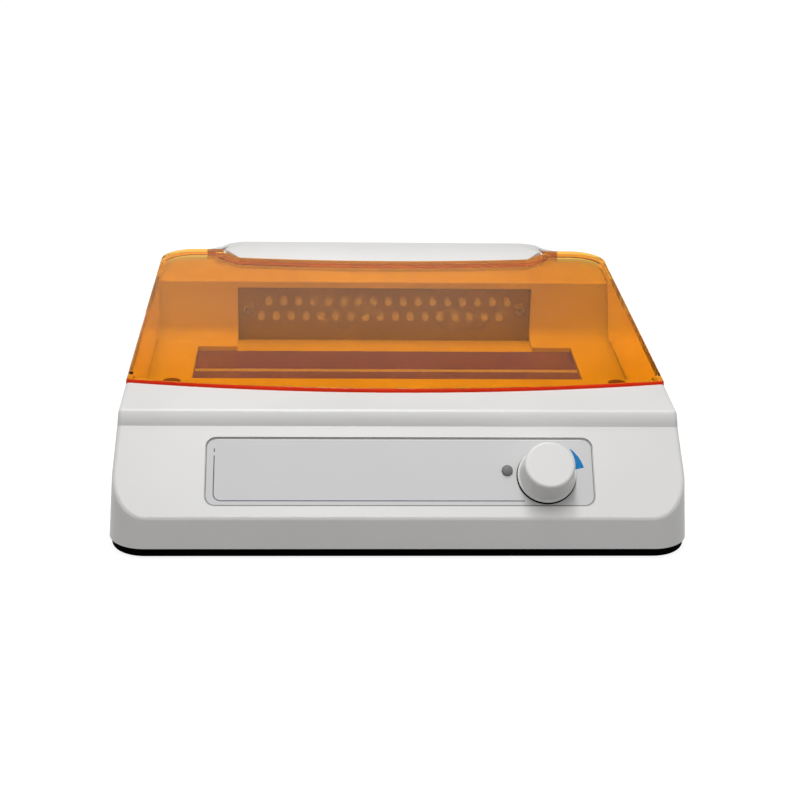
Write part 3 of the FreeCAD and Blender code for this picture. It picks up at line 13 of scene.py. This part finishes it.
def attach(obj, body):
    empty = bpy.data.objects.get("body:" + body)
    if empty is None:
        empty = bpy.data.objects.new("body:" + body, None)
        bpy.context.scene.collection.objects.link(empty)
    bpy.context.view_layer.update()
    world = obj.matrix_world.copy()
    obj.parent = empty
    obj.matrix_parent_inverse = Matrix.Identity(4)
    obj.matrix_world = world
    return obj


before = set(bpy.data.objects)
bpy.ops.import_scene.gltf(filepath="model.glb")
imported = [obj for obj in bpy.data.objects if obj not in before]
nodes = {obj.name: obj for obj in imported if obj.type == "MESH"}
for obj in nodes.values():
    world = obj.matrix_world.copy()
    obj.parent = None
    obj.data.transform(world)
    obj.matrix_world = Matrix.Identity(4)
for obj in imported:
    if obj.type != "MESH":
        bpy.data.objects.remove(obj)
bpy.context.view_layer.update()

MM = 0.001


def linear(hex_colour):
    """An sRGB hex value as the linear colour that a shader takes."""
    parts = [int(hex_colour[i : i + 2], 16) / 255 for i in (0, 2, 4)]
    values = [p / 12.92 if p <= 0.04045 else ((p + 0.055) / 1.055) ** 2.4 for p in parts]
    return (*values, 1.0)


def add(tree, kind, settings=None, links=None):
    """Adds one node. settings name its properties or inputs, and links give the outputs that feed its
    inputs."""
    node = tree.nodes.new("ShaderNode" + kind)
    for name, value in (settings or {}).items():
        if isinstance(name, int) or name in node.inputs:
            node.inputs[name].default_value = value
        else:
            setattr(node, name, value)
    for name, source in (links or {}).items():
        tree.links.new(source, node.inputs[name])
    return node


def finish(name, tones, mottle_mm, roughness, grain_mm, depth_mm, stretch=(1.0, 1.0, 1.0), **sockets):
    """A finish whose two tones and whose gloss wander over mottle_mm, with a grain of grain_mm that stands
    depth_mm deep. stretch below 1 draws the pattern out along that axis, and sockets are even all over."""
    made = bpy.data.materials.new(name)
    made.use_nodes = True
    tree = made.node_tree
    shader = tree.nodes["Principled BSDF"]
    for socket, value in sockets.items():
        shader.inputs[socket.replace("_", " ")].default_value = value
    place = add(tree, "Mapping", {"Scale": stretch}, {"Vector": add(tree, "TexCoord").outputs["Object"]})
    mottle = add(
        tree, "TexNoise", {"Scale": 1 / (mottle_mm * MM), "Detail": 2.0}, {"Vector": place.outputs[0]}
    )
    tone = add(tree, "ValToRGB", None, {"Fac": mottle.outputs[0]})
    for stop, at, hex_tone in zip(tone.color_ramp.elements, (0.35, 0.65), tones):
        stop.position = at
        stop.color = linear(hex_tone)
    gloss = add(
        tree,
        "MapRange",
        {"From Min": 0.3, "From Max": 0.7, "To Min": roughness[0], "To Max": roughness[1]},
        {"Value": mottle.outputs[0]},
    )
    grain = add(
        tree,
        "TexNoise",
        {"Scale": 1 / (grain_mm * MM), "Detail": 3.0, "Roughness": 0.6},
        {"Vector": place.outputs[0]},
    )
    relief = add(tree, "Bump", {"Distance": depth_mm * MM}, {"Height": grain.outputs[0]})
    tree.links.new(tone.outputs["Color"], shader.inputs["Base Color"])
    tree.links.new(gloss.outputs[0], shader.inputs["Roughness"])
    tree.links.new(relief.outputs[0], shader.inputs["Normal"])
    return made


def masked_board(name, tones):
    """Glass fibre board under a satin solder mask. Its weave is 0.5 mm in the real board, and is drawn
    coarser to show."""
    weave_mm = 0.9
    made = finish(name, tones, 12.0, (0.34, 0.46), weave_mm, 0.01, IOR=1.55)
    tree = made.node_tree
    place = add(tree, "TexCoord").outputs["Object"]
    weave = add(tree, "TexVoronoi", {"Scale": 1 / (weave_mm * MM)}, {"Vector": place})
    relief = tree.nodes["Principled BSDF"].inputs["Normal"].links[0].from_node
    tree.links.new(weave.outputs["Distance"], relief.inputs["Height"])
    return made


finishes = {
    # ABS from a lightly etched mould, satin. Its etch of 0.1 mm is drawn at 0.7 mm, the least that shows.
    "white_plastic": finish(
        "moulded_white_abs",
        ("E4E3E1", "E8E7E5"),
        70.0,
        (0.34, 0.42),
        0.7,
        0.01,
        IOR=1.54,
        Specular_IOR_Level=0.4,
    ),
    # black nylon of the inlet and the switch: satin
    "black_plastic": finish(
        "moulded_black_nylon", ("141414", "1A1A1A"), 20.0, (0.35, 0.5), 0.9, 0.02, IOR=1.53
    ),
    # amber acrylic, drawn over a mould and polished: one wall is clear orange, and so is its silhouette. The
    # IOR is under acrylic's 1.49, because so thin a shell hardly bends what is behind it, and a clear coat
    # gives its gloss.
    "amber_acrylic": finish(
        "dyed_amber_acrylic",
        ("FCC24A", "FEC652"),
        40.0,
        (0.0, 0.02),
        60.0,
        0.05,
        IOR=1.1,
        Transmission_Weight=1.0,
        Coat_Weight=0.5,
        Coat_Roughness=0.02,
        Coat_IOR=1.4,
    ),
    # blue glass, dyed all through and polished, with a few marks of wiping in its gloss, and a painted blue
    # glow:
    # the glass gives off light of its own though it is no lamp
    "blue_filter_glass": finish(
        "dyed_blue_glass_painted_glow",
        ("7E6CC4", "8672CC"),
        90.0,
        (0.05, 0.1),
        30.0,
        0.002,
        IOR=1.3,
        Emission_Color=(0.0, 0.04, 1.0, 1.0),
        Emission_Strength=0.4,
    ),
    # float glass: flat and smooth. It lies flat on the plate, so it shows as a thin gloss and a pale edge,
    # which its Alpha gives without a second bend of the light.
    "clear_glass": finish(
        "clear_float_glass", ("D0CCE8", "D8D4EE"), 60.0, (0.02, 0.04), 40.0, 0.002, IOR=1.5, Alpha=0.06
    ),
    # opal polycarbonate sheet: milky, with a matt skin
    "diffuser_plastic": finish(
        "opal_polycarbonate", ("E9EDF2", "F3F6F9"), 50.0, (0.5, 0.6), 2.0, 0.005, IOR=1.58
    ),
    # moulded rubber: dull, with a faint bloom
    "black_rubber": finish(
        "moulded_black_rubber",
        ("131313", "1C1C1C"),
        2.5,
        (0.65, 0.8),
        0.5,
        0.02,
        IOR=1.5,
        Specular_IOR_Level=0.3,
    ),
    # the plugs' rubber: a warm grey
    "white_rubber": finish(
        "moulded_grey_rubber",
        ("7C6660", "866E68"),
        2.5,
        (0.6, 0.75),
        0.5,
        0.02,
        IOR=1.5,
        Specular_IOR_Level=0.3,
    ),
    # bright zinc plate on turned and headed steel: a cool metal with faint lines
    "steel": finish("zinc_plated_steel", ("B9BBC0", "C9CBCE"), 3.0, (0.22, 0.36), 0.4, 0.004, Metallic=1.0),
    # natural acetal: waxy and slightly cream
    "slick_plastic": finish("natural_acetal", ("E6E6E0", "ECECE6"), 8.0, (0.4, 0.5), 1.0, 0.01, IOR=1.48),
    # aluminium as it comes from the mill: fine long lines of rolling along the sheet
    "aluminium": finish(
        "rolled_aluminium",
        ("C3C4C7", "CDCED1"),
        0.6,
        (0.28, 0.42),
        0.5,
        0.004,
        (0.03, 1.0, 1.0),
        Metallic=1.0,
    ),
    "circuit_board": masked_board("white_solder_mask", ("E4E5E2", "ECEDEA")),
    "green_board": masked_board("green_solder_mask", ("0F5A2A", "156B34")),
    # water clear epoxy round a lamp chip: glossy and milky, with a faint painted glow that stands for the
    # light along its dome
    "lamp_epoxy": finish(
        "clear_lamp_epoxy_painted_glow",
        ("F0F1FA", "FAFAFD"),
        2.0,
        (0.08, 0.14),
        1.0,
        0.005,
        IOR=1.53,
        Coat_Weight=1.0,
        Coat_Roughness=0.12,
        Emission_Color=(0.9, 0.92, 1.0, 1.0),
        Emission_Strength=0.12,
    ),
    # moulding compound of chips and cans: black, with a stony skin
    "components": finish(
        "black_moulding_compound", ("19191B", "242427"), 5.0, (0.4, 0.6), 0.3, 0.01, IOR=1.55
    ),
    # polyester film, printed silver grey on its back: satin, with the faint waves of its adhesive
    "label_film": finish(
        "printed_polyester_film",
        ("D2D2D2", "D6D6D6"),
        60.0,
        (0.45, 0.55),
        8.0,
        0.01,
        IOR=1.5,
        Specular_IOR_Level=0.3,
    ),
    # grey tinted ABS: a dull lens
    "grey_lens": finish(
        "smoked_lens", ("727272", "7B7B7B"), 2.0, (0.4, 0.5), 0.8, 0.01, IOR=1.54, Specular_IOR_Level=0.2
    ),
}

# the same dyed glass as the plate, thinner, so that the lamps behind it show
lamp_window_glass = finish(
    "thin_blue_glass", ("DCD4F2", "E4DCF8"), 60.0, (0.12, 0.2), 20.0, 0.004, IOR=1.3, Alpha=0.3
)
# the cover's cut front edge, seen along the sheet: the dye adds up to a deep red, and a painted red glow
# stands for the light that the sheet catches
cover_edge = finish(
    "polished_amber_edge_painted_glow",
    ("B81402", "C81C04"),
    30.0,
    (0.3, 0.4),
    4.0,
    0.005,
    IOR=1.3,
    Specular_IOR_Level=0.2,
    Emission_Color=(1.0, 0.08, 0.01, 1.0),
    Emission_Strength=0.18,
)
# the ground rear edge of the cutting glass: a matt pale line with a painted glow for the light caught in the
# sheet
glass_edge = finish(
    "ground_glass_edge_painted_glow",
    ("F4F8F6", "FAFCFB"),
    8.0,
    (0.5, 0.6),
    0.5,
    0.01,
    IOR=1.5,
    Emission_Color=(1.0, 0.9, 1.0, 1.0),
    Emission_Strength=0.2,
)
# the lamps' own board behind the window, in a blue grey mask
lamp_mask = masked_board("grey_solder_mask", ("5C5C76", "64647E"))
# screen printed inks: thin, even and dull. The blue and the slate are print; the grey is painted shadow and
# the white painted highlight of the film's groove.
blue_ink, slate_ink, groove_shadow_grey, groove_highlight_white = (
    finish(name, tones, 1.5, (0.5, 0.6), 0.6, 0.003, IOR=1.5, Specular_IOR_Level=0.1)
    for name, tones in (
        ("blue_screen_ink", ("1A78B8", "2482C0")),
        ("slate_screen_ink", ("5A6070", "626878")),
        ("painted_groove_shadow_grey", ("8E8E8E", "969696")),
        ("painted_groove_highlight_white", ("F2F2F2", "F6F6F6")),
    )
)
# painted shadow of the gap under the knob: a rough black that hardly shines
gap_shadow_black = finish(
    "painted_gap_shadow_black", ("040404", "070707"), 1.5, (0.7, 0.8), 0.6, 0.003, IOR=1.5, Specular_IOR_Level=0.05
)
# the tray's black ABS, from a coarse etch: flat and dark, with hardly a highlight
tray_plastic = finish(
    "moulded_black_abs", ("020202", "040404"), 20.0, (0.75, 0.9), 0.9, 0.02, IOR=1.54, Specular_IOR_Level=0.01
)

own_finish = {"lamp_window": lamp_window_glass, "lamp_board": lamp_mask, "base_tray": tray_plastic}
for name, node in nodes.items():
    slot_name = node.data.materials[0].name
    node.data.materials.clear()
    node.data.materials.append(own_finish.get(name, finishes[slot_name]))
    for face in node.data.polygons:
        face.material_index = 0

# the faces that were cut after the sheet was made, the cover's front and the cutting glass's rear, take the
# edge finishes with their painted glows
COVER_FRONT = -88 * MM
GLASS_REAR = 50 * MM
for name, edge_finish in (("amber_lid", cover_edge), ("cutting_glass", glass_edge)):
    mesh = nodes[name].data
    mesh.materials.append(edge_finish)
    for face in mesh.polygons:
        front = name == "amber_lid" and face.normal.y < -0.5 and face.center.y < COVER_FRONT
        rear = name == "cutting_glass" and face.normal.y > 0.5 and face.center.y > GLASS_REAR
        face.material_index = int(front or rear)


# The panel's frame: X along the bench, Y up the slope and Z out of the panel, from the knob's middle.
PANEL_ANGLE = math.radians(44.0)
KNOB_MM = (77.8, -153.56, 40.41)
FILM_TOP_MM, INK_MM, SUNK_MM = -0.7, 0.04, 0.01
ALONG = Vector((1.0, 0.0, 0.0))
UP_SLOPE = Vector((0.0, math.cos(PANEL_ANGLE), math.sin(PANEL_ANGLE)))
TILT = Matrix((ALONG, UP_SLOPE, ALONG.cross(UP_SLOPE))).transposed().to_4x4()
PANEL = Matrix.Translation(Vector(KNOB_MM) * MM) @ TILT


def print_on_film(name, mesh, ink):
    """Thickens a flat shape, drawn in millimetres in the panel's frame, into a coat of ink on the label."""
    bmesh.ops.recalc_face_normals(mesh, faces=mesh.faces)
    raised = bmesh.ops.extrude_face_region(mesh, geom=mesh.faces[:], use_keep_orig=True)
    coat = [part for part in raised["geom"] if isinstance(part, bmesh.types.BMVert)]
    bmesh.ops.translate(mesh, vec=(0.0, 0.0, INK_MM), verts=coat)
    bmesh.ops.translate(mesh, vec=(0.0, 0.0, FILM_TOP_MM - SUNK_MM), verts=mesh.verts)
    bmesh.ops.recalc_face_normals(mesh, faces=mesh.faces)
    bmesh.ops.scale(mesh, vec=(MM, MM, MM), verts=mesh.verts)
    bmesh.ops.transform(mesh, matrix=PANEL, verts=mesh.verts)
    data = bpy.data.meshes.new(name)
    mesh.to_mesh(data)
    mesh.free()
    data.materials.append(ink)
    piece = bpy.data.objects.new(name, data)
    bpy.context.scene.collection.objects.link(piece)
    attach(piece, "bench")


def stroke(mesh, start, end, width_mm):
    """A first edge across a line's start, pulled along to its end. Gives back the edge at the end."""
    run = (Vector(end) - Vector(start)).to_3d()
    across = Vector((-run.y, run.x, 0.0)).normalized() * width_mm / 2
    first = [mesh.verts.new(Vector(start).to_3d() + side * across) for side in (1, -1)]
    return pull(mesh, mesh.edges.new(first), run)


def pull(mesh, edge, run):
    """Extrudes an edge by run and gives back the edge at its end."""
    grown = bmesh.ops.extrude_edge_only(mesh, edges=[edge])["geom"]
    bmesh.ops.translate(mesh, vec=run, verts=[part for part in grown if isinstance(part, bmesh.types.BMVert)])
    return next(part for part in grown if isinstance(part, bmesh.types.BMEdge))


def turn(mesh, edge, centre):
    """Sweeps an edge a quarter round a centre and gives back the edge at its end."""
    swept = bmesh.ops.spin(
        mesh,
        geom=[*edge.verts, edge],
        cent=(*centre, 0.0),
        axis=(0, 0, 1),
        angle=math.radians(90.0),
        steps=12,
        use_merge=False,
    )
    return next(part for part in swept["geom_last"] if isinstance(part, bmesh.types.BMEdge))


# the wedge for more and less: an arc band round the knob that narrows as it turns back
WEDGE_START, WEDGE_END = math.radians(14.0), math.radians(50.0)
WEDGE_INNER_MM, WEDGE_OUTER_MM, WEDGE_TIP_MM = 16.1, 21.0, 0.3
wedge = bmesh.new()
foot = [wedge.verts.new((reach, 0.0, 0.0)) for reach in (WEDGE_INNER_MM, WEDGE_OUTER_MM)]
bmesh.ops.rotate(wedge, cent=(0, 0, 0), matrix=Matrix.Rotation(WEDGE_START, 3, "Z"), verts=foot)
bmesh.ops.spin(
    wedge,
    geom=[*foot, wedge.edges.new(foot)],
    cent=(0, 0, 0),
    axis=(0, 0, 1),
    angle=WEDGE_END - WEDGE_START,
    steps=24,
    use_merge=False,
)
for corner in wedge.verts:
    turned = (math.atan2(corner.co.y, corner.co.x) - WEDGE_START) / (WEDGE_END - WEDGE_START)
    if corner.co.length < WEDGE_OUTER_MM - 1:
        corner.co *= 1 + (WEDGE_OUTER_MM - WEDGE_TIP_MM - WEDGE_INNER_MM) / WEDGE_INNER_MM * turned
print_on_film("brightness_wedge", wedge, blue_ink)

# the printed frame line: down the left side, round the corner and along the bottom to the knob
LINE_MM, LINE_LEFT_MM, LINE_RIGHT_MM, LINE_BOTTOM_MM, LINE_TURN_MM = 0.55, -176.4, -12.0, -14.0, 4.0
DASH_TOP_MM, DASH_END_MM, SIDE_TOP_MM = 15.8, 13.8, 11.8
line = bmesh.new()
stroke(line, (LINE_LEFT_MM, DASH_TOP_MM), (LINE_LEFT_MM, DASH_END_MM), LINE_MM)
end = stroke(line, (LINE_LEFT_MM, SIDE_TOP_MM), (LINE_LEFT_MM, LINE_BOTTOM_MM + LINE_TURN_MM), LINE_MM)
end = turn(line, end, (LINE_LEFT_MM + LINE_TURN_MM, LINE_BOTTOM_MM + LINE_TURN_MM))
pull(line, end, Vector((LINE_RIGHT_MM - LINE_LEFT_MM - LINE_TURN_MM, 0.0, 0.0)))
print_on_film("frame_line", line, slate_ink)

# painted shadow and painted highlight of the film's groove: a grey border round the film's edge, and a white
# line under its upper run
BORDER_MM, BORDER_TURN_MM, HIGHLIGHT_MM, HIGHLIGHT_DROP_MM = 0.6, 5.3, 0.45, 0.7
LEFT_MM, RIGHT_MM, BOTTOM_MM, TOP_MM = -180.6, 25.0, -16.6, 21.55
turn_left, turn_right = LEFT_MM + BORDER_TURN_MM, RIGHT_MM - BORDER_TURN_MM
turn_bottom, turn_top = BOTTOM_MM + BORDER_TURN_MM, TOP_MM - BORDER_TURN_MM
border = bmesh.new()
end = stroke(border, (LEFT_MM, turn_top), (LEFT_MM, turn_bottom), BORDER_MM)
end = turn(border, end, (turn_left, turn_bottom))
end = pull(border, end, Vector((turn_right - turn_left, 0.0, 0.0)))
end = turn(border, end, (turn_right, turn_bottom))
end = pull(border, end, Vector((0.0, turn_top - turn_bottom, 0.0)))
end = turn(border, end, (turn_right, turn_top))
end = pull(border, end, Vector((turn_left - turn_right, 0.0, 0.0)))
turn(border, end, (turn_left, turn_top))
bmesh.ops.remove_doubles(border, verts=border.verts, dist=0.01)
print_on_film("film_groove_painted_shadow", border, groove_shadow_grey)
highlight = bmesh.new()
highlight_height = TOP_MM - HIGHLIGHT_DROP_MM
stroke(highlight, (turn_left, highlight_height), (turn_right, highlight_height), HIGHLIGHT_MM)
print_on_film("film_highlight", highlight, groove_highlight_white)

# a black ring on the film under the knob's rim: painted shadow of the dark gap there
RING_INNER_MM, RING_OUTER_MM = 13.5, 15.95
ring = bmesh.new()
rim = [ring.verts.new((reach, 0.0, 0.0)) for reach in (RING_INNER_MM, RING_OUTER_MM)]
bmesh.ops.spin(
    ring,
    geom=[*rim, ring.edges.new(rim)],
    cent=(0, 0, 0),
    axis=(0, 0, 1),
    angle=math.radians(360.0),
    steps=48,
    use_merge=True,
)
print_on_film("knob_gap_painted_shadow", ring, gap_shadow_black)


# the camera of the photograph, fitted to the bench's straight edges
EYE = Vector((-41.08, -1019.32, 425.11)) * MM
YAW, PITCH, ROLL = 0.0463, 0.3754, 0.0201
LENS_MM = 80.48

ahead = Vector(
    (
        math.sin(YAW) * math.cos(PITCH),
        math.cos(YAW) * math.cos(PITCH),
        -math.sin(PITCH),
    )
)
level_right = Vector((math.cos(YAW), -math.sin(YAW), 0.0))
level_up = level_right.cross(ahead)
right = math.cos(ROLL) * level_right + math.sin(ROLL) * level_up
up = math.cos(ROLL) * level_up - math.sin(ROLL) * level_right
lens = bpy.data.cameras.new("bench_camera")
lens.lens = LENS_MM
lens.sensor_width = 36.0
lens.clip_start = 0.01
lens.clip_end = 50.0
camera = bpy.data.objects.new("bench_camera", lens)
bpy.context.scene.collection.objects.link(camera)
camera.matrix_world = Matrix.Translation(EYE) @ Matrix((right, up, -ahead)).transposed().to_4x4()
bpy.context.scene.camera = camera


def white_where_seen(tree, glow):
    """glow where the camera, gloss or glass looks, and 0 where the light that falls on the bench does."""
    path = add(tree, "LightPath")
    seen = add(
        tree,
        "Math",
        {"operation": "MAXIMUM"},
        {0: path.outputs["Is Camera Ray"], 1: path.outputs["Is Glossy Ray"]},
    )
    seen = add(
        tree,
        "Math",
        {"operation": "MAXIMUM"},
        {0: seen.outputs[0], 1: path.outputs["Is Transmission Ray"]},
    )
    return add(tree, "Math", {"operation": "MULTIPLY", 1: glow}, {0: seen.outputs[0]}).outputs[0]


def stage_sheet(name, size, matrix):
    """A flat sheet of the studio, size across and along, put in place by matrix."""
    mesh = bmesh.new()
    bmesh.ops.create_grid(mesh, x_segments=4, y_segments=4, size=0.5)
    bmesh.ops.scale(mesh, vec=(*size, 1.0), verts=mesh.verts)
    bmesh.ops.transform(mesh, matrix=matrix, verts=mesh.verts)
    data = bpy.data.meshes.new(name)
    mesh.to_mesh(data)
    mesh.free()
    data.materials.append(bpy.data.materials.new(name))
    data.materials[0].use_nodes = True
    sheet = bpy.data.objects.new(name, data)
    bpy.context.scene.collection.objects.link(sheet)
    return sheet


# The floor is pale grey to the light, and is lifted to white where it is seen, so that the shadow stays.
floor = stage_sheet("studio_floor", (12.0, 12.0), Matrix.Identity(4)).data.materials[0].node_tree
floor.nodes.clear()
shade = add(floor, "BsdfDiffuse", {"Color": linear("8A8A8A")})
light = add(floor, "Emission", None, {"Strength": white_where_seen(floor, 0.9)})
both = add(floor, "AddShader", None, {0: shade.outputs[0], 1: light.outputs[0]})
add(floor, "OutputMaterial", None, {"Surface": both.outputs[0]})

# A grey card behind the bench, out of the camera's sight: its paler foot gives the cover's rear half a soft
# sheen, less of it on the right.
card = stage_sheet(
    "grey_card",
    (5.0, 1.8),
    Matrix.Translation((0.0, 1.7, 1.1)) @ Matrix.Rotation(math.radians(90.0), 4, "X"),
)
card.visible_camera = False
paint = card.data.materials[0].node_tree
place = add(paint, "SeparateXYZ", None, {0: add(paint, "TexCoord").outputs["Object"]})
upward = add(
    paint,
    "MapRange",
    {"From Min": 0.64, "From Max": 0.76, "To Min": 0.38, "To Max": 0.04},
    {"Value": place.outputs["Z"]},
)
aside = add(
    paint,
    "MapRange",
    {"From Min": 0.15, "From Max": 0.5, "To Min": 1.0, "To Max": 0.3},
    {"Value": place.outputs["X"]},
)
fade = add(paint, "Math", {"operation": "MULTIPLY"}, {0: upward.outputs[0], 1: aside.outputs[0]})
paint.nodes.remove(paint.nodes["Principled BSDF"])
glow = add(paint, "Emission", None, {"Strength": fade.outputs[0]})
paint.links.new(glow.outputs[0], paint.nodes["Material Output"].inputs["Surface"])

# The world is plain soft light, and white where it is seen.
world = bpy.data.worlds.new("studio")
bpy.context.scene.world = world
world.use_nodes = True
sky = world.node_tree
sky.nodes.clear()
soft = add(sky, "Background", {"Strength": 0.42})
white = add(sky, "Background", {"Strength": 1.0})
for background in (soft, white):
    background.inputs["Color"].default_value = (1.0, 1.0, 1.0, 1.0)
mixed = add(
    sky,
    "MixShader",
    None,
    {0: white_where_seen(sky, 1.0), 1: soft.outputs[0], 2: white.outputs[0]},
)
add(sky, "OutputWorld", None, {"Surface": mixed.outputs[0]})

# A long strip of soft light overhead, front to back, gives the knob's straight-sided shadow.
strip = bpy.data.lights.new("ceiling_strip", "AREA")
strip.shape = "RECTANGLE"
strip.size = 0.25
strip.size_y = 1.5
strip.energy = 13.0
ceiling = bpy.data.objects.new("ceiling_strip", strip)
bpy.context.scene.collection.objects.link(ceiling)
ceiling.location = (-0.03, -0.1, 1.35)

bpy.context.scene.view_settings.view_transform = "Standard"
